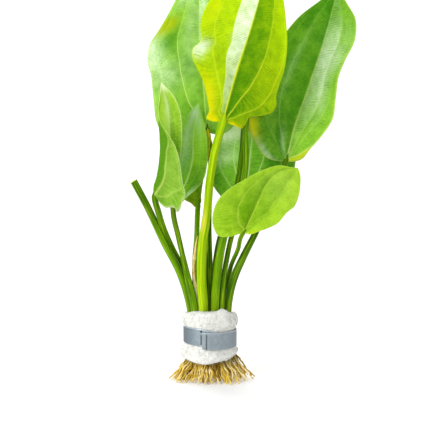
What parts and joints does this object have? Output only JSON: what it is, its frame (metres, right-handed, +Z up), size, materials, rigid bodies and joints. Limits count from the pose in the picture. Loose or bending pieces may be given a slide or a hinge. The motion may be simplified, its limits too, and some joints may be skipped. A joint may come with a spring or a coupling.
{
  "type": "echinodorus plant",
  "caption": "Bunched swordplant with broad upright leaves on long stalks, a white wool collar held by a metal strip, and trimmed roots it stands on.",
  "frame": {"origin": "the cut end of the middle root, on the surface that the plant stands on", "axes": "+Z up along the plant, -Y towards the side that the picture shows, +X to its right"},
  "size_m": [0.1556, 0.0674, 0.2996],
  "materials": {
    "young_leaf": "satin, translucent, yellow-green",
    "leaf": "glossy, veined, mid green",
    "stalk": "smooth, satin, green",
    "dry_sheath": "dry, papery, golden brown",
    "roots": "matt, fibrous, golden brown",
    "mineral_wool": "fluffy, white",
    "strip_metal": "dull, bare, blue-grey"
  },
  "bodies": {
    "root": {"leaf_front": "young_leaf", "leaf_low": "young_leaf", "leaf_rolled": "young_leaf", "leaf_right": "leaf", "leaf_left": "leaf", "leaf_slim": "leaf", "leaf_back": "leaf", "leaf_narrow": "leaf", "leaf_hidden_left": "leaf", "leaf_hidden_right": "leaf", "stalk_front": "stalk", "stalk_right": "stalk", "stalk_left": "stalk", "stalk_slim": "stalk", "stalk_back": "stalk", "stalk_low": "stalk", "stalk_rolled": "stalk", "stalk_narrow": "stalk", "stalk_hidden_left": "stalk", "stalk_hidden_right": "stalk", "stalk_cut": "stalk", "dry_sheath": "dry_sheath", "crown_and_roots": "roots", "wool_collar": "mineral_wool", "metal_strip": "strip_metal"}
  },
  "joints": []
}
